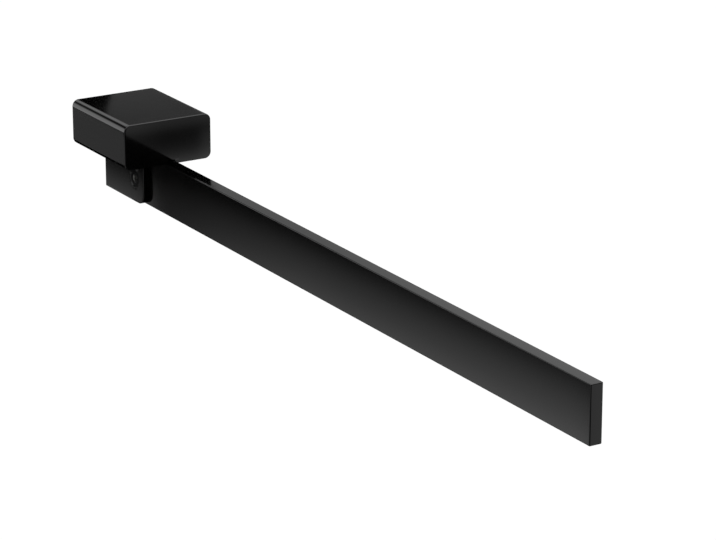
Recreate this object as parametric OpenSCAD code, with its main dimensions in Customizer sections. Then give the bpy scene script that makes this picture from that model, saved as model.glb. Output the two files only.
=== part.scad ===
// Single towel bar with a fixed arm, in gloss black, for screwing to a wall.
// A slotted cover hides the carrier that hangs a forked holder from the wall plate.
// The flat bar lies on edge in the fork and stands straight out of the wall.
// Frame: X across the wall, Y = 0 on the wall with the bar along -Y, Z up.
// The origin is midway between the two wall screw holes.

/* [Cover] */
// Width of the cover, along the wall
cover_w = 50; // [46:1:70]
// Height of the cover
cover_h = 24; // [24:1:36]
// Depth of the cover, from its open back to its front face
cover_d = 60; // [56:1:90]
// Radius of the four long edges of the cover
cover_corner_r = 3.5; // [1:0.5:6]
// Wall of the cover at its sides, top and underside
cover_wall = 2.5; // [2:0.1:3]
// Wall of the cover at its front
cover_front = 3; // [2:0.25:6]
// Fine edge round the cover's front face
cover_edge = 0.5; // [0.2:0.1:0.9]
// How far the cover stops short of the wall
wall_gap = 1; // [0:0.25:2]
// Gap round the holder and the bar in the cover's slot
slot_clear = 0.25; // [0.1:0.05:0.5]

/* [Bar] */
// From the wall to the bar's tip
reach = 445; // [150:5:650]
// Thickness of the bar
bar_t = 6.5; // [5:0.5:10]
// Height of the bar, which lies on edge
bar_h = 28; // [22:1:40]
// How far the bar's top edge stands above the cover's underside
bar_rise = 2; // [1:0.25:2.25]
// Fine edge along the bar and round its tip
bar_edge = 0.5; // [0.2:0.1:1]
// Gap between the bar and the fork that it sits in
seat_clear = 0.05; // [0.02:0.01:0.1]

/* [Holder] */
// From the wall to the front of the holder
holder_d = 44; // [42:1:50]
// Thickness of each cheek beside the bar
cheek_t = 2.75; // [2.75:0.25:5]
// Web behind the bar's end
holder_web = 6; // [3:0.5:12]
// Roof over the bar's top edge
holder_roof = 6; // [5:0.25:6.25]
// Radius of the lower front corner
holder_corner_r = 6; // [1:0.5:9]
// Fine edge down the two front edges
holder_edge = 0.4; // [0.2:0.1:1]

/* [Wall plate] */
// Thickness of the plate on the wall
plate_t = 3; // [2:0.5:4]
// From the plate's side to the middle of a wall screw hole
wall_hole_inset = 6.7; // [5.7:0.1:7.7]
// Diameter of a wall screw hole
wall_hole_d = 5.5; // [4:0.5:6]
// Gap between the plate or the carrier and the inside of the cover
guide_clear = 0.3; // [0.1:0.05:0.4]

/* [Carrier] */
// Thickness of the flange against the wall plate
flange_t = 5; // [4:0.5:6]
// Thickness of the shelf on the holder's roof
shelf_t = 4; // [3:0.25:4.25]
// Thickness of the two ribs
rib_t = 2; // [1.5:0.25:3]
// Height of the two ribs above the shelf
rib_h = 6; // [3:0.5:8]
// Thickness of the bulkhead that the cover slides over
bulkhead_t = 4; // [3:0.5:5]
// Pocket in the flange for the head of a wall screw
head_pocket_d = 10; // [9:0.5:11]
// Hole in the bulkhead for the key of a carrier screw
key_hole_d = 5; // [4:0.5:6]

/* [Fasteners] */
// Thread of the cap screws
cap_thread_d = 4; // [3:0.5:4]
// Head of a cap screw
cap_head_d = 7; // [5.5:0.5:7]
// Height of a cap screw's head
cap_head_h = 4; // [3:0.5:4]
// Hexagon key of the cap screws, across its flats
cap_key = 3; // [2:0.5:3]
// Outside of a split washer
washer_d = 7.6; // [7:0.1:7.6]
// Thickness of a split washer
washer_t = 0.9; // [0.5:0.1:1.1]
// Slit in a split washer
washer_slit = 0.8; // [0.4:0.1:1.2]
// Thread of the bar screw
bar_screw_d = 5; // [4:0.5:6]
// Countersunk head of the bar screw
bar_screw_head_d = 9.4; // [8.4:0.2:9.6]
// How deep the bar screw's head lies below the holder's side
bar_screw_sink = 0.3; // [0:0.05:0.5]
// From the holder's front to the bar screw
bar_screw_setback = 10.2; // [8:0.2:20]
// From the bar's lower edge to the bar screw
bar_screw_rise = 12.6; // [7:0.2:16]
// Hexagon key of the bar screw, across its flats
bar_screw_key = 3; // [2:0.5:4]
// Thread of the grub screws under the cover
grub_d = 4; // [3:0.5:4]
// Hexagon key of the grub screws, across its flats
grub_key = 2; // [1.5:0.5:2]
// From the plate's side to the middle of a grub screw
grub_inset = 7.2; // [5.2:0.1:10.2]

/* [Hidden] */

$fn = 64;
// overrun of a cut past the face that it opens
cut = 1;
// gap between a screw and its tapped hole, and between a screw and a clearance hole
thread_clear = 0.05;
hole_clear = 0.2;
// a screw's end stops this far short of the far side of what it is tapped into
screw_short = 0.9;
// chamfer on the rim of a screw's head and on the end of its thread
head_chamfer = 0.4;
thread_chamfer = 0.5;
// gap between neighbouring heads, washers, ribs and walls inside the cover
head_gap = 0.5;
// smallest radius of the cover's inside corners
inner_r_min = 0.5;
// depth of the cone that a grub screw presses into, and of its hexagon
dimple = 1.3;
grub_key_deep = 1.8;
grub_sink = 0.3;
cap_key_deep = 2;
bar_screw_key_deep = 1.9;

// inside of the cover, and the plate and carrier outline that fits it
inner_w = cover_w - 2 * cover_wall;
inner_h = cover_h - 2 * cover_wall;
inner_r = max(cover_corner_r - cover_wall, inner_r_min);
plate_w = inner_w - 2 * guide_clear;
plate_h = inner_h - 2 * guide_clear;
wall_hole_x = plate_w / 2 - wall_hole_inset;
grub_x = plate_w / 2 - grub_inset;
cover_under = -cover_h / 2;
cover_floor = -inner_h / 2;
cover_face = -(wall_gap + cover_d);

// bar
bar_top = cover_under + bar_rise;
bar_under = bar_top - bar_h;
bar_back = -(holder_web + seat_clear);

// holder
holder_w = bar_t + 2 * (seat_clear + cheek_t);
flange_front = -(plate_t + flange_t);
tang_back = flange_front - guide_clear;
tang_top = bar_top + seat_clear + holder_roof;

// carrier
shelf_top = tang_top + shelf_t;
bulkhead_back = -(holder_d - bulkhead_t);
cap_head_seat = washer_t + cap_head_h;
carrier_screw_x = cap_head_d / 2 + cap_key / cos(30) / 2 + head_gap;
carrier_screw_z = shelf_top + washer_d / 2 + head_gap / 2;
rib_inner = carrier_screw_x + washer_d / 2 + head_gap / 2;
shelf_w = 2 * (rib_inner + rib_t);
holder_screw_back = flange_front - cap_head_seat - washer_d / 2 - head_gap;
holder_screw_front = bulkhead_back + washer_d / 2 + head_gap;

// screw lengths under the head
holder_screw_len = washer_t + shelf_t + holder_roof - screw_short;
carrier_screw_len = washer_t + flange_t + plate_t - screw_short;
bar_screw_len = cheek_t + seat_clear + bar_t - screw_short - bar_screw_sink;
bar_screw_y = -(holder_d - bar_screw_setback);
bar_screw_z = bar_under + bar_screw_rise;
grub_y = -(plate_t + flange_t / 2);
grub_len = cover_wall + guide_clear + dimple - grub_sink;

// Rectangle with round corners, from plain squares and circles
module rounded_rect(w, h, r) {
    square([w - 2 * r, h], center = true);
    square([w, h - 2 * r], center = true);
    for (x = [-1, 1], y = [-1, 1])
        translate([x * (w / 2 - r), y * (h / 2 - r)]) circle(r);
}

// Draws a profile of X and Z from the place y forwards, along -Y
module forward(y, length) {
    translate([0, y, 0]) rotate([90, 0, 0]) linear_extrude(length) children();
}

// Draws a profile of Y and Z across X, centred on the bar
module across(length) {
    rotate([90, 0, 90]) linear_extrude(length, center = true) children();
}

// Last slice of a rounded block, whose rim slopes in by its own height
module sloped_rim(w, h, r, rim) {
    rotate([90, 0, 90]) linear_extrude(w - 2 * r, center = true)
        polygon([[-h / 2, 0], [h / 2, 0], [h / 2 - rim, rim], [rim - h / 2, rim]]);
    rotate([90, 0, 0]) linear_extrude(h - 2 * r, center = true)
        polygon([[-w / 2, 0], [w / 2, 0], [w / 2 - rim, rim], [rim - w / 2, rim]]);
    for (x = [-1, 1], y = [-1, 1])
        translate([x * (w / 2 - r), y * (h / 2 - r), 0]) cylinder(h = rim, r1 = r, r2 = r - rim);
}

// Rectangle whose four corners are cut at 45 degrees
module edged_rect(w, h, edge) {
    polygon([[-w / 2 + edge, -h / 2], [w / 2 - edge, -h / 2], [w / 2, -h / 2 + edge], [w / 2, h / 2 - edge],
             [w / 2 - edge, h / 2], [-w / 2 + edge, h / 2], [-w / 2, h / 2 - edge], [-w / 2, -h / 2 + edge]]);
}

// Hexagon socket of a key, cut down from z = 0
module key_socket(key, deep) {
    translate([0, 0, -deep]) cylinder(h = deep + cut, r = key / cos(30) / 2, $fn = 6);
}

// Thread of a screw as a plain shank from z = 0 down, with a chamfered end
module shank(d, length) {
    translate([0, 0, -length + thread_chamfer]) cylinder(h = length - thread_chamfer, d = d);
    translate([0, 0, -length]) cylinder(h = thread_chamfer, r1 = d / 2 - thread_chamfer, r2 = d / 2);
}

// Cap screw, with the underside of its head at z = 0
module cap_screw(length) {
    difference() {
        union() {
            cylinder(h = cap_head_h - head_chamfer, d = cap_head_d);
            translate([0, 0, cap_head_h - head_chamfer])
                cylinder(h = head_chamfer, r1 = cap_head_d / 2, r2 = cap_head_d / 2 - head_chamfer);
            shank(cap_thread_d, length);
        }
        translate([0, 0, cap_head_h]) key_socket(cap_key, cap_key_deep);
    }
}

// Split washer on z = 0, slit on its +X side
module split_washer() {
    difference() {
        cylinder(h = washer_t, d = washer_d);
        translate([0, 0, -cut]) cylinder(h = washer_t + 2 * cut, d = cap_thread_d + 2 * hole_clear);
        translate([0, -washer_slit / 2, -cut]) cube([washer_d, washer_slit, washer_t + 2 * cut]);
    }
}

// Places for the two cap screws that go back into the wall plate
module at_carrier_screws(y) {
    for (x = [-1, 1])
        translate([x * carrier_screw_x, y, carrier_screw_z]) rotate([90, 0, 0]) children();
}

// Places for the two cap screws that go down into the holder
module at_holder_screws(z) {
    for (y = [holder_screw_back, holder_screw_front])
        translate([0, y, z]) children();
}

// Places for the two grub screws, pointing up, with z = 0 at the tip
module at_grub_screws() {
    for (x = [-1, 1])
        translate([x * grub_x, grub_y, -plate_h / 2 + dimple]) children();
}

// Steel plate that is screwed to the wall first
module wall_plate() {
    color("#b9bbbd") difference() {
        forward(0, plate_t) difference() {
            rounded_rect(plate_w, plate_h, inner_r);
            for (x = [-1, 1])
                translate([x * wall_hole_x, 0]) circle(d = wall_hole_d);
        }
        at_carrier_screws(cut)
            cylinder(h = plate_t + 2 * cut, d = cap_thread_d + 2 * thread_clear);
    }
}

// Outline of the carrier's two cross walls, open below for the holder's tang
module bulkhead_outline() {
    difference() {
        rounded_rect(plate_w, plate_h, inner_r);
        translate([-holder_w / 2 - guide_clear, -plate_h]) square([holder_w + 2 * guide_clear, plate_h + tang_top]);
    }
}

// Casting inside the cover that hangs the holder from the wall plate
module carrier() {
    color("#8d8f92") difference() {
        union() {
            forward(-plate_t, flange_t) rounded_rect(plate_w, plate_h, inner_r);
            forward(bulkhead_back, bulkhead_t) bulkhead_outline();
            forward(flange_front, holder_d - plate_t - flange_t)
                translate([-shelf_w / 2, tang_top]) square([shelf_w, shelf_t]);
            for (x = [rib_inner, -rib_inner - rib_t])
                forward(flange_front, holder_d - plate_t - flange_t)
                    translate([x, tang_top]) square([rib_t, min(shelf_t + rib_h, plate_h / 2 - inner_r - tang_top)]);
        }
        // pockets for the heads of the wall screws
        forward(-plate_t + cut, flange_t + 2 * cut)
            for (x = [-1, 1])
                translate([x * wall_hole_x, 0]) circle(d = head_pocket_d);
        // clearance holes for both pairs of cap screws
        at_carrier_screws(-plate_t + cut) cylinder(h = flange_t + 2 * cut, d = cap_thread_d + 2 * hole_clear);
        at_holder_screws(tang_top - cut) cylinder(h = shelf_t + 2 * cut, d = cap_thread_d + 2 * hole_clear);
        // holes in the bulkhead for the key of the carrier screws
        at_carrier_screws(bulkhead_back + cut) cylinder(h = bulkhead_t + 2 * cut, d = key_hole_d);
        // cones that the grub screws press into
        at_grub_screws() translate([0, 0, -dimple])
            cylinder(h = dimple, r1 = grub_d / 2 + thread_clear, r2 = grub_d / 2 + thread_clear - dimple);
    }
}

// Two cap screws that hold the carrier on the wall plate
module carrier_screws() {
    color("#6d6f72") at_carrier_screws(flange_front - washer_t) cap_screw(carrier_screw_len);
}

// Four split washers, one under each cap screw's head
module lock_washers() {
    color("#9a9c9f") {
        at_carrier_screws(flange_front) split_washer();
        at_holder_screws(shelf_top) split_washer();
    }
}

// Side view of the holder, with its tang up in the cover and its lower front corner round
module holder_profile() {
    polygon([[0, bar_under], [0, cover_floor], [tang_back, cover_floor], [tang_back, tang_top],
             [-holder_d, tang_top], [-holder_d, bar_under + holder_corner_r],
             [-holder_d + holder_corner_r, bar_under]]);
    translate([-holder_d + holder_corner_r, bar_under + holder_corner_r]) circle(holder_corner_r);
}

// Fork under the cover that holds the bar between two cheeks
module holder() {
    color("#15161a") difference() {
        intersection() {
            across(holder_w) holder_profile();
            // the two front edges are sloped off
            translate([0, 0, bar_under]) linear_extrude(tang_top - bar_under)
                polygon([[-holder_w / 2, 0], [holder_w / 2, 0], [holder_w / 2, -holder_d + holder_edge],
                         [holder_w / 2 - holder_edge, -holder_d], [-holder_w / 2 + holder_edge, -holder_d],
                         [-holder_w / 2, -holder_d + holder_edge]]);
        }
        // slot for the bar, open below and in front
        translate([-bar_t / 2 - seat_clear, -holder_d - cut, bar_under - cut])
            cube([bar_t + 2 * seat_clear, holder_d - holder_web + cut, bar_h + seat_clear + cut]);
        // countersunk hole in the left cheek
        translate([-holder_w / 2, bar_screw_y, bar_screw_z]) rotate([0, -90, 0]) {
            bar_screw_seat = bar_screw_head_d / 2 + bar_screw_sink + thread_clear;
            translate([0, 0, -cheek_t - cut]) cylinder(h = cheek_t + 2 * cut, d = bar_screw_d + 2 * hole_clear);
            translate([0, 0, bar_screw_d / 2 - bar_screw_seat])
                cylinder(h = bar_screw_seat - bar_screw_d / 2 + cut, r1 = bar_screw_d / 2, r2 = bar_screw_seat + cut);
        }
        // tapped holes in the roof
        at_holder_screws(bar_top - cut)
            cylinder(h = holder_roof + 2 * cut, d = cap_thread_d + 2 * thread_clear);
    }
}

// Two cap screws that hang the holder from the carrier's shelf
module holder_screws() {
    color("#6d6f72") at_holder_screws(shelf_top + washer_t) cap_screw(holder_screw_len);
}

// Flat bar on edge, with fine edges along it and round its tip
module bar() {
    bar_length = reach + bar_back;
    mid_z = (bar_top + bar_under) / 2;
    color("#15161a") difference() {
        intersection() {
            forward(bar_back, bar_length) translate([0, mid_z]) edged_rect(bar_t, bar_h, bar_edge);
            translate([0, 0, bar_under]) linear_extrude(bar_h)
                polygon([[-bar_t / 2, bar_back], [bar_t / 2, bar_back], [bar_t / 2, -reach + bar_edge],
                         [bar_t / 2 - bar_edge, -reach], [-bar_t / 2 + bar_edge, -reach],
                         [-bar_t / 2, -reach + bar_edge]]);
            across(bar_t)
                polygon([[bar_back, bar_under], [bar_back, bar_top], [-reach + bar_edge, bar_top],
                         [-reach, bar_top - bar_edge], [-reach, bar_under + bar_edge],
                         [-reach + bar_edge, bar_under]]);
        }
        // tapped hole for the bar screw
        translate([0, bar_screw_y, bar_screw_z]) rotate([0, 90, 0])
            cylinder(h = bar_t + 2 * cut, d = bar_screw_d + 2 * thread_clear, center = true);
    }
}

// Countersunk screw through the left cheek into the bar
module bar_screw() {
    head_h = (bar_screw_head_d - bar_screw_d) / 2;
    color("#1d1e20") translate([-holder_w / 2 + bar_screw_sink, bar_screw_y, bar_screw_z]) rotate([0, -90, 0])
        difference() {
            union() {
                translate([0, 0, -head_h]) cylinder(h = head_h, d1 = bar_screw_d, d2 = bar_screw_head_d);
                translate([0, 0, -head_h]) shank(bar_screw_d, bar_screw_len - head_h);
            }
            key_socket(bar_screw_key, bar_screw_key_deep);
        }
}

// Cast cover, open at the back, with a slot for the holder and the bar in its underside
module cover() {
    color("#15161a") difference() {
        union() {
            forward(-wall_gap, cover_d - cover_edge) rounded_rect(cover_w, cover_h, cover_corner_r);
            translate([0, cover_face + cover_edge, 0]) rotate([90, 0, 0])
                sloped_rim(cover_w, cover_h, cover_corner_r, cover_edge);
        }
        // inside
        forward(-wall_gap + cut, cover_d - cover_front + cut) rounded_rect(inner_w, inner_h, inner_r);
        // slot for the holder, open at the back
        translate([-holder_w / 2 - slot_clear, -holder_d - slot_clear, cover_under - cut])
            cube([holder_w + 2 * slot_clear, holder_d + slot_clear, cover_wall + 2 * cut]);
        // slot for the bar in the underside
        translate([-bar_t / 2 - slot_clear, cover_face + cover_front, cover_under - cut])
            cube([bar_t + 2 * slot_clear, cover_d - cover_front, cover_wall + 2 * cut]);
        // notch for the bar in the front wall
        translate([-bar_t / 2 - slot_clear, cover_face - cut, cover_under - cut])
            cube([bar_t + 2 * slot_clear, cover_front + 2 * cut, bar_rise + slot_clear + cut]);
        // tapped holes for the grub screws
        at_grub_screws() translate([0, 0, -dimple - guide_clear - cover_wall - cut])
            cylinder(h = cover_wall + 2 * cut, d = grub_d + 2 * thread_clear);
    }
}

// Two grub screws that fix the cover from below
module cover_grub_screws() {
    color("#1d1e20") at_grub_screws() difference() {
        union() {
            translate([0, 0, -grub_len]) cylinder(h = grub_len - dimple, d = grub_d);
            translate([0, 0, -dimple]) cylinder(h = dimple, r1 = grub_d / 2, r2 = grub_d / 2 - dimple);
        }
        translate([0, 0, -grub_len]) mirror([0, 0, 1]) key_socket(grub_key, grub_key_deep);
    }
}

wall_plate();
carrier();
carrier_screws();
lock_washers();
holder();
holder_screws();
bar();
bar_screw();
cover();
cover_grub_screws();
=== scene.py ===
import math

import bmesh
import bpy
import numpy as np
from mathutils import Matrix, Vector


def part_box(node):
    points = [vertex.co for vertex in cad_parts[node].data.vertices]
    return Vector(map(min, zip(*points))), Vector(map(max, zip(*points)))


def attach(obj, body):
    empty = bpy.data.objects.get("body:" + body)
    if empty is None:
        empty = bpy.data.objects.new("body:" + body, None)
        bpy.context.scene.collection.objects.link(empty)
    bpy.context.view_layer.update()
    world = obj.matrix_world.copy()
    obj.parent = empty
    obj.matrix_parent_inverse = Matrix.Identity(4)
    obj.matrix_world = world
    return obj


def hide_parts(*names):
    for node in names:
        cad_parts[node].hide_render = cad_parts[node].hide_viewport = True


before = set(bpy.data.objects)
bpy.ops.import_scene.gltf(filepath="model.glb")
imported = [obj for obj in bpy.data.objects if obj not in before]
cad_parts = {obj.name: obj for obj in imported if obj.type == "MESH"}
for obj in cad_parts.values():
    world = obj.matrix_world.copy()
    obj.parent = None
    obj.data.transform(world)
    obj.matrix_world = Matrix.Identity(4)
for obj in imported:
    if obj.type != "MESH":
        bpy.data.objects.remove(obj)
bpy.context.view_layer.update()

# Wall plate: 3 mm stainless steel sheet, punched and tumbled, screwed to the wall first.
# The cover hides it, so it is only seen from behind.


def linear(hex_colour):
    """An sRGB colour such as "#9a9b9d" as linear red, green, blue and an alpha of 1."""
    srgb = np.array([int(hex_colour[i:i + 2], 16) / 255 for i in (1, 3, 5)])
    rgb = np.where(srgb <= 0.04045, srgb / 12.92, ((srgb + 0.055) / 1.055) ** 2.4)
    return (*rgb.tolist(), 1.0)


def add_node(tree, kind, links=None, values=None, **settings):
    """Adds a node with its settings, its input values, and its links from other nodes' outputs."""
    node = tree.nodes.new(kind)
    for name, value in settings.items():
        setattr(node, name, value)
    for name, value in (values or {}).items():
        node.inputs[name].default_value = value
    for name, output in (links or {}).items():
        tree.links.new(output, node.inputs[name])
    return node


def start_finish(name):
    """A new material with its shader and the piece's own coordinates, in metres."""
    finish = bpy.data.materials.new(name)
    finish.use_nodes = True
    tree = finish.node_tree
    place = add_node(tree, "ShaderNodeTexCoord").outputs["Object"]
    return finish, tree, tree.nodes["Principled BSDF"], place


# A Mix node holds its two colours in inputs 6 and 7, and gives the mixed one in output 2.
dark_end, light_end, mixed = 6, 7, 2
micron = 1e-6


def feed_shader(tree, shader, tone, dull, relief=None):
    """Links a finish's colour, its roughness and its fine relief to its shader."""
    tree.links.new(tone.outputs[mixed], shader.inputs["Base Color"])
    tree.links.new(dull.outputs["Result"], shader.inputs["Roughness"])
    if relief is not None:
        tree.links.new(relief.outputs["Normal"], shader.inputs["Normal"])


def wear(node, finish):
    """Gives a CAD node's object a finish in place of its own."""
    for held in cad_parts[node].material_slots:
        held.material = finish


# Cold-rolled stainless sheet: the rolls leave long faint streaks across the plate,
# so its shine is drawn out one way and grey rather than white.
rolled_steel, tree, shader, place = start_finish("rolled_stainless_sheet")
shader.inputs["Metallic"].default_value = 1.0
streak_mm, streaks_in_a_metre = 0.35, 12.0
streaks = add_node(tree, "ShaderNodeMapping", {"Vector": place},
                   {"Scale": (streaks_in_a_metre, 1000 / streak_mm, 1000 / streak_mm)})
grain = add_node(tree, "ShaderNodeTexNoise", {"Vector": streaks.outputs["Vector"]},
                 {"Scale": 1.0, "Detail": 3.0, "Roughness": 0.6})
tone = add_node(tree, "ShaderNodeMix", {"Factor": grain.outputs["Fac"]},
                {dark_end: linear("#a4a6a8"), light_end: linear("#c3c4c6")}, data_type="RGBA")
dull = add_node(tree, "ShaderNodeMapRange", {"Value": grain.outputs["Fac"]},
                {"To Min": 0.26, "To Max": 0.4})
ridges = add_node(tree, "ShaderNodeBump", {"Height": grain.outputs["Fac"]},
                  {"Strength": 0.5, "Distance": 4 * micron})
feed_shader(tree, shader, tone, dull, ridges)
wear("wall_plate", rolled_steel)

# Carrier: an aluminium pressure die casting inside the cover, left raw.
# The two carrier screws pull it on to the wall plate.

# Raw die casting: a satin grey skin with cloudy flow marks from the die and a fine grit,
# which gives soft, patchy highlights.
raw_casting, tree, shader, place = start_finish("raw_aluminium_die_casting")
shader.inputs["Metallic"].default_value = 1.0
flow_mm, grit_mm = 9.0, 0.4
flow = add_node(tree, "ShaderNodeTexNoise", {"Vector": place},
                {"Scale": 1000 / flow_mm, "Detail": 4.0, "Distortion": 1.2})
grit = add_node(tree, "ShaderNodeTexNoise", {"Vector": place},
                {"Scale": 1000 / grit_mm, "Detail": 2.0})
tone = add_node(tree, "ShaderNodeMix", {"Factor": flow.outputs["Fac"]},
                {dark_end: linear("#8f9194"), light_end: linear("#b4b6b8")}, data_type="RGBA")
dull = add_node(tree, "ShaderNodeMapRange", {"Value": flow.outputs["Fac"]},
                {"To Min": 0.42, "To Max": 0.6})
skin = add_node(tree, "ShaderNodeBump", {"Height": grit.outputs["Fac"]},
                {"Strength": 0.6, "Distance": 20 * micron})
feed_shader(tree, shader, tone, dull, skin)
wear("carrier", raw_casting)

# Carrier screws, holder screws and their split washers: M4 cap screws and spring washers,
# cold-headed from stainless steel wire and tumbled. The screws are done up on the washers.

# Tumbled stainless steel: bright grey with small dents and a slightly uneven shine.
tumbled_steel, tree, shader, place = start_finish("tumbled_stainless_steel")
shader.inputs["Metallic"].default_value = 1.0
dent_mm = 0.7
dents = add_node(tree, "ShaderNodeTexNoise", {"Vector": place},
                 {"Scale": 1000 / dent_mm, "Detail": 3.0})
tone = add_node(tree, "ShaderNodeMix", {"Factor": dents.outputs["Fac"]},
                {dark_end: linear("#8d8f92"), light_end: linear("#aeb0b2")}, data_type="RGBA")
dull = add_node(tree, "ShaderNodeMapRange", {"Value": dents.outputs["Fac"]},
                {"To Min": 0.2, "To Max": 0.36})
hollows = add_node(tree, "ShaderNodeBump", {"Height": dents.outputs["Fac"]},
                   {"Strength": 0.4, "Distance": 10 * micron})
feed_shader(tree, shader, tone, dull, hollows)
for fastener in ("carrier_screws", "lock_washers", "holder_screws"):
    wear(fastener, tumbled_steel)

# Holder: a milled steel fork, stove-enamelled in gloss black. Its tang hangs from the
# carrier's shelf by two screws, for which its roof is tapped, and its cheeks clamp the bar.


def corners(node):
    """The lowest and the highest corner of a CAD node in mm, to a hundredth."""
    return np.round(np.array(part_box(node)) * 1000, 2)


def lines(*places):
    """The grid lines of one axis, in order: single places and runs of them, in mm."""
    return np.unique(np.round(np.concatenate([np.atleast_1d(p).astype(float) for p in places]), 6))


def around(middle, half, steps=8):
    """The grid lines across a hole's square, evenly from half before its middle to half after."""
    return middle + np.linspace(-half, half, steps + 1)


def cells_between(grid, box):
    """Which cells of the grid lie inside a box of (x0, x1, y0, y1, z0, z1), in mm."""
    inside = []
    for places, low, high in zip(grid, box[0::2], box[1::2]):
        middle = (places[1:] + places[:-1]) / 2
        inside.append((middle > low) & (middle < high))
    return inside[0][:, None, None] & inside[1][None, :, None] & inside[2][None, None, :]


def skin_of_cells(grid, filled):
    """The skin of a solid made of the box cells between the grid lines.
    A face stands wherever a filled cell meets an empty one, and its corners run round
    anticlockwise as seen from the empty one. Returns points in mm and four-sided faces."""
    shape = [len(places) for places in grid]
    full = np.pad(filled, 1).astype(int)
    number = np.arange(np.prod(shape)).reshape(shape)
    faces = []
    for axis in range(3):
        b, c = (axis + 1) % 3, (axis + 2) % 3
        step = np.moveaxis(np.diff(full, axis=axis), (axis, b, c), (0, 1, 2))[:, 1:-1, 1:-1]
        at = np.moveaxis(number, (axis, b, c), (0, 1, 2))
        ring = np.stack([at[:, :-1, :-1], at[:, 1:, :-1], at[:, 1:, 1:], at[:, :-1, 1:]], axis=-1)
        faces += [ring[step == -1], ring[step == 1][:, ::-1]]
    used, faces = np.unique(np.concatenate(faces), return_inverse=True)
    every_point = np.stack(np.meshgrid(*grid, indexing="ij"), axis=-1).reshape(-1, 3)
    return every_point[used], faces.reshape(-1, 4)


def bored(points, faces, grid, axis, centre, half, rings):
    """Cuts a round hole along an axis through two flat skins of the grid. The faces of the
    square round the hole go, and a belt takes their place: it runs in from the square's edge
    on the first skin, follows the rings (radius, place along the axis), and runs out to the
    square's edge on the second. A belt point keeps its direction from the hole's middle."""
    b, c = (axis + 1) % 3, (axis + 2) % 3
    edge_b, edge_c = [grid[a][np.abs(grid[a] - m) < half + 1e-6] - m for a, m in zip((b, c), centre)]
    square = np.concatenate([
        np.stack([edge_b[:-1], np.full(len(edge_b) - 1, -half)], axis=1),
        np.stack([np.full(len(edge_c) - 1, half), edge_c[:-1]], axis=1),
        np.stack([edge_b[:0:-1], np.full(len(edge_b) - 1, half)], axis=1),
        np.stack([np.full(len(edge_c) - 1, -half), edge_c[:0:-1]], axis=1)])
    circle = square / np.linalg.norm(square, axis=1)[:, None]
    ends = rings[0][1], rings[-1][1]
    belt = np.stack([square] + [radius * circle for radius, _ in rings] + [square])
    along = np.array([ends[0]] + [place for _, place in rings] + [ends[1]])
    belt_points = np.zeros((*belt.shape[:2], 3))
    belt_points[..., axis] = along[:, None]
    belt_points[..., b] = belt[..., 0] + centre[0]
    belt_points[..., c] = belt[..., 1] + centre[1]

    middle = points[faces].mean(axis=1)
    flat = np.ptp(points[faces][:, :, axis], axis=1) < 1e-6
    on_skin = np.isclose(middle[:, axis, None], ends, atol=1e-4).any(axis=1)
    inside = (np.abs(middle[:, b] - centre[0]) < half) & (np.abs(middle[:, c] - centre[1]) < half)
    kept = faces[~(flat & on_skin & inside)]

    at = np.arange(belt.shape[0] * belt.shape[1]).reshape(belt.shape[:2])
    after = np.roll(at, -1, axis=1)
    quads = np.stack([at[:-1], after[:-1], after[1:], at[1:]], axis=-1).reshape(-1, 4)
    if ends[0] < ends[1]:
        quads = quads[:, ::-1]
    return (np.concatenate([points, belt_points.reshape(-1, 3)]),
            np.concatenate([kept, quads + len(points)]))


def round_corner(points, a, b, centre, radius, towards):
    """Bends a square corner of the grid to a round one. In the corner's square, whose inner
    corner is the centre, a point keeps its greater distance along axis a or b as its distance
    from the centre, and its lesser one turns into its share of the 45 degrees on its side."""
    u = (points[:, a] - centre[0]) * towards[0] / radius
    v = (points[:, b] - centre[1]) * towards[1] / radius
    inside = (u > 1e-9) & (v > 1e-9)
    far, near = np.maximum(u, v), np.minimum(u, v)
    turn = np.pi / 4 * near / np.where(far > 0, far, 1)
    turn = np.where(u >= v, turn, np.pi / 2 - turn)
    reach_a = centre[0] + towards[0] * radius * far * np.cos(turn)
    reach_b = centre[1] + towards[1] * radius * far * np.sin(turn)
    bent = points.copy()
    bent[:, a] = np.where(inside, reach_a, points[:, a])
    bent[:, b] = np.where(inside, reach_b, points[:, b])
    return bent


def make_piece(name, points, faces, finish):
    """A mesh object of points in mm, with its doubled points merged and one finish."""
    mesh = bpy.data.meshes.new(name)
    mesh.from_pydata((points / 1000).tolist(), [], faces.tolist())
    joined = bmesh.new()
    joined.from_mesh(mesh)
    bmesh.ops.remove_doubles(joined, verts=joined.verts, dist=1e-6)
    joined.to_mesh(mesh)
    joined.free()
    mesh.materials.append(finish)
    mesh.shade_smooth()
    piece = bpy.data.objects.new(name, mesh)
    bpy.context.scene.collection.objects.link(piece)
    return piece


def read(items, name, size, kind=float):
    """One property of all vertices, edges, corners or faces of a mesh, as an array."""
    got = np.empty(len(items) * size, kind)
    items.foreach_get(name, got)
    return got.reshape(-1, size) if size > 1 else got


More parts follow.
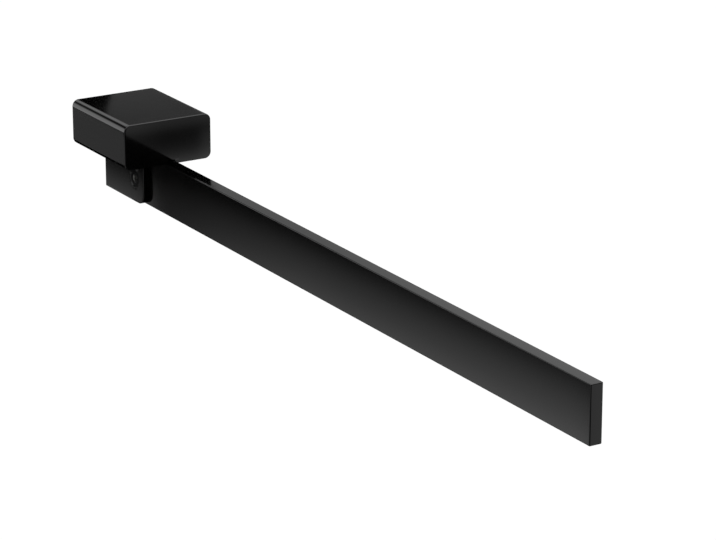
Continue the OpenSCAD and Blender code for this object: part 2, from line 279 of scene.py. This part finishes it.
def soften_edges(piece, widest, width_at, segments=3):
    """Rounds each edge where two faces meet at more than 30 degrees. width_at gives each
    edge's width in mm from the place of its middle, and an edge of no width stays sharp."""
    mesh = piece.data
    corner_count = read(mesh.polygons, "loop_total", 1, int)
    face_of_corner = np.repeat(np.arange(len(corner_count)), corner_count)
    order = np.argsort(read(mesh.loops, "edge_index", 1, int), kind="stable")
    facing = read(mesh.polygons, "normal", 3)[face_of_corner[order].reshape(-1, 2)]
    sharp = (facing[:, 0] * facing[:, 1]).sum(axis=1) < math.cos(math.radians(30))
    ends = read(mesh.vertices, "co", 3)[read(mesh.edges, "vertices", 2, int)] * 1000
    width = np.where(sharp, width_at(ends.mean(axis=1)), 0)
    weight = mesh.attributes.new("bevel_weight_edge", "FLOAT", "EDGE")
    weight.data.foreach_set("value", (width / widest).astype(np.float32))
    hard = mesh.attributes.get("sharp_edge") or mesh.attributes.new("sharp_edge", "BOOLEAN", "EDGE")
    hard.data.foreach_set("value", sharp & (width == 0))
    rounding = piece.modifiers.new("edges", "BEVEL")
    rounding.limit_method, rounding.width, rounding.segments = "WEIGHT", widest / 1000, segments
    rounding.use_clamp_overlap = False
    shading = piece.modifiers.new("shading", "WEIGHTED_NORMAL")
    shading.keep_sharp = True


# Gloss black stove enamel on metal: sprayed, then baked, so it levels to a near mirror.
# The eye sees only what it mirrors, softened a little, with a faint swell of orange peel.
black_enamel, tree, shader, place = start_finish("gloss_black_stove_enamel")
shader.inputs["IOR"].default_value = 1.5
peel_mm, haze_mm = 2.6, 14.0
peel = add_node(tree, "ShaderNodeTexNoise", {"Vector": place},
                {"Scale": 1000 / peel_mm, "Detail": 1.5, "Roughness": 0.4})
haze = add_node(tree, "ShaderNodeTexNoise", {"Vector": place},
                {"Scale": 1000 / haze_mm, "Detail": 3.0})
tone = add_node(tree, "ShaderNodeMix", {"Factor": haze.outputs["Fac"]},
                {dark_end: linear("#020202"), light_end: linear("#040404")}, data_type="RGBA")
dull = add_node(tree, "ShaderNodeMapRange", {"Value": haze.outputs["Fac"]},
                {"To Min": 0.08, "To Max": 0.105})
swell = add_node(tree, "ShaderNodeBump", {"Height": peel.outputs["Fac"]},
                 {"Strength": 1.0, "Distance": 0.4 * micron})
feed_shader(tree, shader, tone, dull, swell)

# what the holder fits: the bar, its M5 screw, and the two M4 screws in the roof
low, high = corners("bar")
bar_side, bar_tip, bar_back, bar_under, bar_top = high[0], low[1], high[1], low[2], high[2]
low, high = corners("bar_screw")
head_radius, screw_length = 4.7, high[0] - low[0]
screw_face, screw_y, screw_z = low[0], (low[1] + high[1]) / 2, high[2] - head_radius
cap_radius, tapped_radius = 3.5, 2.05
low, high = corners("holder_screws")
roof_screws = (high[1] - cap_radius, low[1] + cap_radius)

# the holder itself: its outside, the slot for the bar, and the 90 degree countersink
low, high = corners("holder")
holder_side, holder_front, holder_under, tang_top = high[0], low[1], low[2], high[2]
holder_step, tang_back, slot_gap = -9.5, -8.3, 0.05
slot_side, slot_back, slot_top = bar_side + slot_gap, bar_back + slot_gap, bar_top + slot_gap
countersink_radius, clear_radius = 5.05, 2.7
countersink_floor = countersink_radius - clear_radius - holder_side
# the rounded lower front corner, with its grid lines closer together towards the outside
foot_radius = 6.0
foot = foot_radius * np.array([0, 3, 6, 8, 10, 12]) / 12
# the squares round the holes, and a line across the cheeks that keeps their faces short
screw_square, roof_square, cheek_line = 6.2, 2.6, -14.0
grid = (
    lines(-holder_side, -slot_side, around(0, roof_square), slot_side, holder_side),
    lines(holder_front + foot_radius - foot, around(screw_y, screw_square, 16),
          *[around(y, roof_square) for y in roof_screws], tang_back, slot_back, 0),
    lines(holder_under + foot_radius - foot, around(screw_z, screw_square, 16), cheek_line,
          slot_top, holder_step, tang_top))
body = cells_between(grid, (-holder_side, holder_side, holder_front, 0, holder_under, holder_step))
tang = cells_between(grid, (-holder_side, holder_side, holder_front, tang_back, holder_step, tang_top))
slot = cells_between(grid, (-slot_side, slot_side, holder_front, slot_back, holder_under, slot_top))
points, faces = skin_of_cells(grid, (body | tang) & ~slot)
points, faces = bored(points, faces, grid, 0, (screw_y, screw_z), screw_square, [
    (countersink_radius, -holder_side), (clear_radius, countersink_floor), (clear_radius, -slot_side)])
for y in roof_screws:
    points, faces = bored(points, faces, grid, 2, (0, y), roof_square,
                          [(tapped_radius, slot_top), (tapped_radius, tang_top)])
points = round_corner(points, 1, 2, (holder_front + foot_radius, holder_under + foot_radius),
                      foot_radius, (-1, -1))
holder = make_piece("holder_fork", points, faces, black_enamel)
# an edge whose middle is this near to a plane or a rim, in mm, lies on it
nearly = 0.1


def holder_edge(middle):
    """0.4 mm down the front of the cheeks, 0.12 mm round the screw's hole, none from the slot's
    top up, where the cover hides it, and 0.25 mm elsewhere."""
    x, y, z = middle.T
    front = (y < holder_front + nearly) & (np.abs(x) > slot_side + nearly)
    hole = (np.hypot(y - screw_y, z - screw_z) < countersink_radius + nearly) & (x < 0)
    hidden = z > slot_top - nearly
    return np.select([hidden, hole, front], [0, 0.12, 0.4], 0.25)


soften_edges(holder, 0.4, holder_edge)
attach(holder, "root")
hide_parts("holder")

# Bar: cold-drawn flat steel bar, 28 x 6.5 mm, with its edges broken, stove-enamelled in
# gloss black. It lies on edge in the holder's fork, held by the bar screw.
bar_hole, bar_square = 2.55, 3.6
# a line across the bar that keeps the faces at its tip short
tip_line = bar_tip + 12.0
grid = (
    lines(-bar_side, bar_side),
    lines(bar_tip, tip_line, around(screw_y, bar_square), bar_back),
    lines(bar_under, around(screw_z, bar_square), bar_top))
solid = cells_between(grid, (-bar_side, bar_side, bar_tip, bar_back, bar_under, bar_top))
points, faces = skin_of_cells(grid, solid)
points, faces = bored(points, faces, grid, 0, (screw_y, screw_z), bar_square,
                      [(bar_hole, -bar_side), (bar_hole, bar_side)])
bar = make_piece("flat_bar", points, faces, black_enamel)


def bar_edge(middle):
    """0.5 mm along the bar and round its ends, and 0.2 mm round the tapped hole."""
    _, y, z = middle.T
    return np.where(np.hypot(y - screw_y, z - screw_z) < bar_hole + nearly, 0.2, 0.5)


soften_edges(bar, 0.5, bar_edge, segments=4)
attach(bar, "root")
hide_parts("bar")

# Bar screw: M5 countersunk screw with a 3 mm hexagon socket, black-oxide steel. It goes
# through the left cheek into the bar, and its head lies 0.3 mm below the cheek.
turned_sides = 96


def turned(rings):
    """A turned part along Z, in mm. Each ring is (z, radius, hexagon), where the last goes
    from 0, a circle of that radius, to 1, a hexagon with that distance to its flats:
    radius times 1 + hexagon x (1 / cos(angle from the nearest flat's middle) - 1).
    The faces come ring by ring."""
    z, radius, hexagon = np.array(rings, float).T[:, :, None]
    angle = np.arange(turned_sides)[None] * 2 * np.pi / turned_sides
    from_flat = (angle + np.pi / 6) % (np.pi / 3) - np.pi / 6
    reach = radius * (1 + hexagon * (1 / np.cos(from_flat) - 1))
    points = np.stack([reach * np.cos(angle), reach * np.sin(angle), z + 0 * angle], axis=-1)
    at = np.arange(len(rings) * turned_sides).reshape(-1, turned_sides)
    after = np.roll(at, -1, axis=1)
    quads = np.stack([at[:-1], after[:-1], after[1:], at[1:]], axis=-1)
    return points.reshape(-1, 3), quads.reshape(-1, 4)


# Black-oxide steel: a thin porous coat that gives back little light, so the head reads as a
# dark ring in the glossy cheek.
coated_steel, tree, shader, place = start_finish("black_oxide_steel")
shader.inputs["IOR"].default_value = 1.18
speck_mm = 0.5
specks = add_node(tree, "ShaderNodeTexNoise", {"Vector": place},
                  {"Scale": 1000 / speck_mm, "Detail": 3.0})
tone = add_node(tree, "ShaderNodeMix", {"Factor": specks.outputs["Fac"]},
                {dark_end: linear("#040404"), light_end: linear("#080809")}, data_type="RGBA")
dull = add_node(tree, "ShaderNodeMapRange", {"Value": specks.outputs["Fac"]},
                {"To Min": 0.08, "To Max": 0.12})
marks = add_node(tree, "ShaderNodeBump", {"Height": specks.outputs["Fac"]},
                 {"Strength": 1.0, "Distance": 0.6 * micron})
feed_shader(tree, shader, tone, dull, marks)

# Bare steel where the key has rubbed the coat off: it shows as a light spot in the dark head.
rubbed_steel, tree, shader, place = start_finish("key_rubbed_steel")
shader.inputs["Metallic"].default_value = 1.0
scratch_mm = 0.3
scratches = add_node(tree, "ShaderNodeTexNoise", {"Vector": place},
                     {"Scale": 1000 / scratch_mm, "Detail": 2.0})
tone = add_node(tree, "ShaderNodeMix", {"Factor": scratches.outputs["Fac"]},
                {dark_end: linear("#6c6c6a"), light_end: linear("#80807e")}, data_type="RGBA")
dull = add_node(tree, "ShaderNodeMapRange", {"Value": scratches.outputs["Fac"]},
                {"To Min": 0.32, "To Max": 0.45})
feed_shader(tree, shader, tone, dull)

# key_half is half the key's width, and z is 0 at the face of the head
thread_radius, key_half, key_deep = 2.5, 1.5, 1.9
shank_and_head = [
    (-screw_length, 0, 0), (-screw_length, 2.0, 0), (-screw_length + 0.5, thread_radius, 0),
    (-2.3, thread_radius, 0), (-2.15, thread_radius + 0.05, 0), (-0.15, head_radius - 0.1, 0),
    (-0.05, head_radius - 0.05, 0), (0, head_radius - 0.15, 0), (0, head_radius - 0.3, 0),
    (0, 2.35, 0), (0, 2.2, 0)]
socket = [
    (-0.04, 2.1, 0), (-0.12, 2.02, 0), (-0.5, key_half + 0.05, 0.9), (-0.6, key_half, 1),
    (-key_deep, key_half, 1), (-key_deep - 0.05, key_half - 0.1, 1), (-key_deep - 0.4, 0, 0)]
points, faces = turned(shank_and_head + socket)
points = np.stack([screw_face - points[:, 2], screw_y + points[:, 0], screw_z - points[:, 1]], axis=1)
bar_screw = make_piece("bar_screw_head", points, faces, coated_steel)
bar_screw.data.materials.append(rubbed_steel)
in_socket = np.arange(len(faces)) >= len(shank_and_head) * turned_sides
bar_screw.data.polygons.foreach_set("material_index", in_socket.astype(np.int32))
bar_screw.modifiers.new("shading", "WEIGHTED_NORMAL")
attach(bar_screw, "root")
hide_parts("bar_screw")

# Cover: a zinc die casting, open at the back, 50 x 24 mm and 60 mm deep, stove-enamelled in
# gloss black. It slides over the plate and the carrier, and its slot clears holder and bar.
low, high = corners("cover")
cover_side, cover_top, cover_front, cover_back = high[0], high[2], low[1], high[1]
edge_radius, wall, front_wall = 3.5, 2.5, 3.0
inner_side, inner_top, inner_front = cover_side - wall, cover_top - wall, cover_front + front_wall
# the slot that clears the holder, the narrower one for the bar, and the notch in the front
slide_gap = 0.25
wide_slot, wide_slot_end = holder_side + slide_gap, holder_front - slide_gap
bar_slot, notch_top = bar_side + slide_gap, bar_top + slide_gap
grub_radius = 2.0
low, high = corners("cover_grub_screws")
grub_x, grub_y, grub_low, grub_tip = high[0] - grub_radius, (low[1] + high[1]) / 2, low[2], high[2]
# the grid lines of the rounded long edges, from the inner rounding's centre outwards
inner_radius = edge_radius - wall
corner_rings = np.concatenate([inner_radius * np.array([0, 0.5]),
                               inner_radius + wall * np.array([0, 0.34, 0.68, 1])])
side_lines = cover_side - edge_radius + corner_rings
height_lines = cover_top - edge_radius + corner_rings
# the squares round the holes, and lines that keep the faces short halfway and at the front
grub_square, halfway_line, front_line = 2.8, -26.0, cover_front + 1.2
grid = (
    lines(side_lines, -side_lines, around(grub_x, grub_square), around(-grub_x, grub_square),
          wide_slot, -wide_slot, bar_slot, -bar_slot, 0),
    lines(cover_back, around(grub_y, grub_square), halfway_line, wide_slot_end, inner_front,
          front_line, cover_front),
    lines(height_lines, -height_lines, notch_top, 0))
block = cells_between(grid, (-cover_side, cover_side, cover_front, cover_back, -cover_top, cover_top))
hollow = cells_between(grid, (-inner_side, inner_side, inner_front, cover_back, -inner_top, inner_top))
openings = [
    (-wide_slot, wide_slot, wide_slot_end, cover_back, -cover_top, -inner_top),
    (-bar_slot, bar_slot, inner_front, cover_back, -cover_top, -inner_top),
    (-bar_slot, bar_slot, cover_front, cover_back, -cover_top, notch_top)]
cut = np.logical_or.reduce([cells_between(grid, opening) for opening in openings])
points, faces = skin_of_cells(grid, block & ~hollow & ~cut)
for side in (-1, 1):
    points, faces = bored(points, faces, grid, 2, (side * grub_x, grub_y), grub_square,
                          [(tapped_radius, -cover_top), (tapped_radius, -inner_top)])
for towards in ((-1, -1), (-1, 1), (1, -1), (1, 1)):
    centre = (towards[0] * (cover_side - edge_radius), towards[1] * (cover_top - edge_radius))
    points = round_corner(points, 0, 2, centre, edge_radius, towards)
cover = make_piece("slotted_cover", points, faces, black_enamel)


def cover_edge(middle):
    """0.5 mm round the front face, none inside the cover or over the bar, and 0.2 mm along the
    slot and round the back."""
    x, y, z = middle.T
    front = y < cover_front + nearly
    over_bar = (np.abs(x) < bar_slot + nearly) & (np.abs(z - (notch_top - inner_top) / 2) < 0.35)
    inside = (y > inner_front - nearly) & (y < cover_back - nearly) & (z > -inner_top - nearly)
    return np.select([over_bar, inside, front], [0, 0, 0.5], 0.2)


soften_edges(cover, 0.5, cover_edge, segments=4)
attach(cover, "root")
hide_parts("cover")

# Grub screws: two M4 cone-point grub screws with 2 mm hexagon sockets, black-oxide steel,
# screwed up through the cover's underside into cones in the carrier's flange.
grub_key_half, foot_z = 1.0, grub_low - grub_tip
points, faces = turned([
    (foot_z + 2.0, 0, 0), (foot_z + 1.8, grub_key_half, 1), (foot_z + 0.25, grub_key_half, 1),
    (foot_z + 0.15, grub_key_half + 0.02, 1), (foot_z, 1.2, 0.7), (foot_z, 1.5, 0),
    (foot_z, grub_radius - 0.2, 0), (foot_z + 0.25, grub_radius, 0), (-1.3, grub_radius, 0),
    (-0.02, 0.72, 0), (0, 0, 0)])
pair = np.concatenate([points + np.array([side * grub_x, grub_y, grub_tip]) for side in (-1, 1)])
grubs = make_piece("cover_grub_pair", pair, np.concatenate([faces, faces + len(points)]), coated_steel)
grubs.modifiers.new("shading", "WEIGHTED_NORMAL")
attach(grubs, "root")
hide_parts("cover_grub_screws")

# Studio: a plain white floor far below, a plain white surround and a big soft lamp overhead.
# Graded cards stand round the object, as gloss black is photographed, and show in its gloss alone.
world = bpy.data.worlds.new("white_surround")
bpy.context.scene.world = world
world.use_nodes = True
world.node_tree.nodes["Background"].inputs["Color"].default_value = (1, 1, 1, 1)
world.node_tree.nodes["Background"].inputs["Strength"].default_value = 1.0


def stage_grid(name, points, shade, finish):
    """A surface of the studio from a grid of points in metres, with a brightness at each point."""
    steps = points.shape[:2]
    at = np.arange(steps[0] * steps[1]).reshape(steps)
    quads = np.stack([at[:-1, :-1], at[1:, :-1], at[1:, 1:], at[:-1, 1:]], axis=-1).reshape(-1, 4)
    mesh = bpy.data.meshes.new(name)
    mesh.from_pydata(points.reshape(-1, 3).tolist(), [], quads.tolist())
    mesh.materials.append(finish)
    level = mesh.attributes.new("shade", "FLOAT", "POINT")
    level.data.foreach_set("value", np.broadcast_to(shade, steps).ravel().astype(np.float32))
    sheet = bpy.data.objects.new(name, mesh)
    bpy.context.scene.collection.objects.link(sheet)
    return sheet


def flat_grid(corner, along, up, steps):
    """Points of a flat sheet: corner + u x along + v x up, with u and v from 0 to 1."""
    u, v = np.meshgrid(np.linspace(0, 1, steps), np.linspace(0, 1, steps), indexing="ij")
    return np.array(corner) + u[..., None] * np.array(along) + v[..., None] * np.array(up)


# Matt white floor paint: it has no gloss and a faint glow of its own, so it stays white.
floor_paint, tree, shader, place = start_finish("matt_white_floor")
shader.inputs["Base Color"].default_value = linear("#f6f6f6")
shader.inputs["Roughness"].default_value = 0.9
shader.inputs["Specular IOR Level"].default_value = 0.0
shader.inputs["Emission Color"].default_value = (1, 1, 1, 1)
shader.inputs["Emission Strength"].default_value = 0.1
floor_points = flat_grid(corner=(-20, -20, -3.0), along=(40, 0, 0), up=(0, 40, 0), steps=2)
stage_grid("floor", floor_points, 0, floor_paint)

# Lit card: each point shines with its own brightness, so the gloss mirrors a smooth grade.
card_paint = bpy.data.materials.new("graded_card")
card_paint.use_nodes = True
tree = card_paint.node_tree
tree.nodes.clear()
level = add_node(tree, "ShaderNodeAttribute", attribute_name="shade")
glow = add_node(tree, "ShaderNodeEmission", {"Strength": level.outputs["Fac"]}, {"Color": (1, 1, 1, 1)})
add_node(tree, "ShaderNodeOutputMaterial", {"Surface": glow.outputs["Emission"]})


def in_gloss_alone(sheet):
    """Lets only mirrored rays see a card, so that it casts no shadow and lights nothing."""
    sheet.visible_camera = sheet.visible_diffuse = sheet.visible_shadow = False
    sheet.visible_transmission = sheet.visible_volume_scatter = False


def card(name, corner, along, up, shade):
    """A flat graded card or softbox. shade(x, y, z) is its brightness, where 1 is white."""
    points = flat_grid(corner, along, up, steps=121)
    in_gloss_alone(stage_grid(name, points, shade(*np.moveaxis(points, -1, 0)), card_paint))


def smooth(x, low, high):
    """0 below low, 1 above high, and between them 3 t^2 - 2 t^3 of the share t of the way."""
    t = np.clip((x - low) / (high - low), 0, 1)
    return t * t * (3 - 2 * t)


def window(x, start, full, fade, end):
    """0 up to start, 1 from full to fade, 0 past end, and soft steps between."""
    return smooth(x, start, full) * (1 - smooth(x, fade, end))


# the tent: dark at eye level, a bright ceiling, a bright window low on the right and in front,
# a softer one high on the left, and grey walls at both sides. turn is the direction in degrees
# from the wall over the right side to the front, and rise the height in degrees.
turn, rise = np.meshgrid(np.linspace(-180, 180, 241), np.linspace(-90, 90, 121), indexing="ij")
across, ahead, upward = (np.sin(np.radians(turn)) * np.cos(np.radians(rise)),
                         np.cos(np.radians(turn)) * np.cos(np.radians(rise)),
                         np.sin(np.radians(rise)))
tent_radius, tent_dark = 2.8, 0.005
ceiling = 1.7 * smooth(rise, 34, 44)
high_front = 1.8 * smooth(rise, 25, 31) * window(turn, 60, 90, 152, 165)
low_window = window(-rise, 9, 15, 36, 48) * np.interp(turn, [30, 60, 150, 155, 161],
                                                      [0, 0.6, 0.64, 0.4, 0])
high_left = smooth(rise, 24, 32) * window(turn, -135, -120, -62, -48)
right_wall = 0.35 * smooth(rise, -20, -8) * window(turn, 44, 60, 126, 141)
left_wall = 0.45 * smooth(rise, -40, -28) * window(turn, -142, -122, -62, -44)
lights = [ceiling, high_front, low_window, high_left, right_wall, left_wall]
in_gloss_alone(stage_grid("dark_tent", tent_radius * np.stack([across, ahead, upward], axis=-1),
                          tent_dark + np.maximum.reduce(lights), card_paint))

# behind: dark low down for the cover's top and brighter above for its left edge, and to the right
# of a sharp border a bright one for the bar's top
rear_place, rear_foot, rear_height = 0.6, 0.08, 0.60
border, rear_left, rear_right = 0.38, 0.1, 1.05
card("rear_card", corner=(rear_left, rear_place, rear_foot), along=(border - rear_left, 0, 0),
     up=(0, 0, rear_height),
     shade=lambda x, y, z: np.interp(z, [0.194, 0.2235, 0.2315, 0.265, 0.365],
                                     [0.16, 0.076, 0.08, 0.36, 0.82]))
card("right_rear_card", corner=(border, rear_place, rear_foot), along=(rear_right - border, 0, 0),
     up=(0, 0, rear_height),
     shade=lambda x, y, z: np.interp(x, [0.40, 0.47, 0.58, 0.74], [0.38, 0.41, 0.55, 0.65]))
# a black one nearer, whose edge falls across the back left corner of the cover's top
card("corner_card", corner=(0.02, 0.2, 0.055), along=(0.0847, 0, 0), up=(-0.0185, 0, 0.05),
     shade=lambda x, y, z: 0 * x)


def soft_climb(depth, start, climb):
    """Black above a depth and brighter by climb for each mm below it, with a soft bend between:
    climb x bend x ln(1 + e^((depth - start) / bend)), all in mm."""
    bend = 2.5
    return climb * bend * np.log1p(np.exp((depth - start) / bend))


def left_shade(x, y, z):
    """Along the bar: black down to a line that sinks towards the wall, and below it brighter
    with depth, less so towards the wall, until it fades out at the foot."""
    depth = -1000 * z
    start = np.interp(y, [-0.23, 0, 0.15, 0.205, 0.24], [95.0, 101.9, 104.2, 111.0, 117.5])
    climb = np.interp(y, [-0.23, 0.05, 0.15, 0.21], [0.0182, 0.0128, 0.0071, 0.0043])
    return soft_climb(depth, start, climb) * (1 - smooth(depth, 155, 210))


def holder_shade(x, y, z):
    """For the holder's cheek: a steeper climb, which ends sooner and is dimmer at the wall end."""
    depth = -1000 * z
    end = 138 + 14 * smooth(y, 0.262, 0.276)
    near_wall = 0.85 * smooth(y, 0.30, 0.36)
    return soft_climb(depth, 117.5, 0.0185) * (1 - smooth(depth, end, end + 16)) * (1 - near_wall)


# left and low: two cards end to end, one for the bar and one for the holder's cheek
left_place, left_foot, left_height = -0.15, -0.21, 0.114
left_start, left_joint, left_end = -0.25, 0.2385, 0.50
card("left_card", corner=(left_place, left_start, left_foot), along=(0, left_joint - left_start, 0),
     up=(0, 0, left_height), shade=left_shade)
card("holder_card", corner=(left_place, left_joint, left_foot), along=(0, left_end - left_joint, 0),
     up=(0, 0, left_height), shade=holder_shade)
# small and near: the even grey of the cover's left side
card("side_card", corner=(-0.06, -0.03, -0.0375), along=(0, 0.16, 0), up=(0, 0, 0.0245),
     shade=lambda x, y, z: 0.22 + 0 * x)


def front_shade(x, y, z):
    """For the cover's front: bright at the foot, where it falls to 1 / e in every 4 mm of
    height, dark in the middle, and paler again towards the top and both ends."""
    foot = np.minimum(0.92 * np.exp(-(z + 0.058) / 0.004), 0.8)
    head = 0.36 * smooth(z, -0.0405, -0.033)
    left_end = 0.12 * (1 - smooth(x, 0.048, 0.072))
    right_end = 0.32 * smooth(x, 0.0895, 0.0985) * (1 - 0.8 * smooth(z, -0.045, -0.037))
    return 0.04 + foot + head + left_end + right_end


# front, low and right
card("front_card", corner=(0.03, -0.20, -0.09), along=(0.12, 0, 0), up=(0, 0, 0.085),
     shade=front_shade)
# two softboxes: a broad one for the band along the cover's top left edge, a slimmer one above it
card("left_softbox", corner=(-1.70, 1.5, -0.42), along=(1.42, 0, 0), up=(0, 0, 1.16),
     shade=lambda x, y, z: 0.19 + 1.18 * (1 - smooth(z, 0.38, 0.68)) * (1 - smooth(x, -0.63, -0.58)))
card("slim_softbox", corner=(-0.30, 1.5, 0.60), along=(0.96, 0, 0), up=(0, 0, 0.40),
     shade=lambda x, y, z: np.interp(x, [-0.30, -0.05, 0.12, 0.25, 0.66], [0.2, 0.9, 1.1, 0.95, 0.35]))

soft_lamp = bpy.data.lights.new("overhead_softbox", "AREA")
soft_lamp.shape, soft_lamp.size, soft_lamp.size_y, soft_lamp.energy = "RECTANGLE", 1.6, 1.6, 6.0
lamp = bpy.data.objects.new("overhead_softbox", soft_lamp)
lamp.location, lamp.rotation_euler = (-0.9, -0.9, 1.8), (math.radians(32), 0, math.radians(-45))
lamp.visible_glossy = False
bpy.context.scene.collection.objects.link(lamp)

# Camera: long lens, 31 degrees round to the left and 18 degrees above.
lens = bpy.data.cameras.new("camera")
lens.lens, lens.sensor_width = 161.52, 36.0
lens.clip_start, lens.clip_end = 0.05, 100
camera = bpy.data.objects.new("camera", lens)
camera.location = (-0.735607, -1.474281, 0.458366)
camera.rotation_euler = (math.radians(71.643), 0, math.radians(-31.014))
bpy.context.scene.collection.objects.link(camera)
bpy.context.scene.camera = camera
bpy.context.scene.view_settings.view_transform = "Standard"
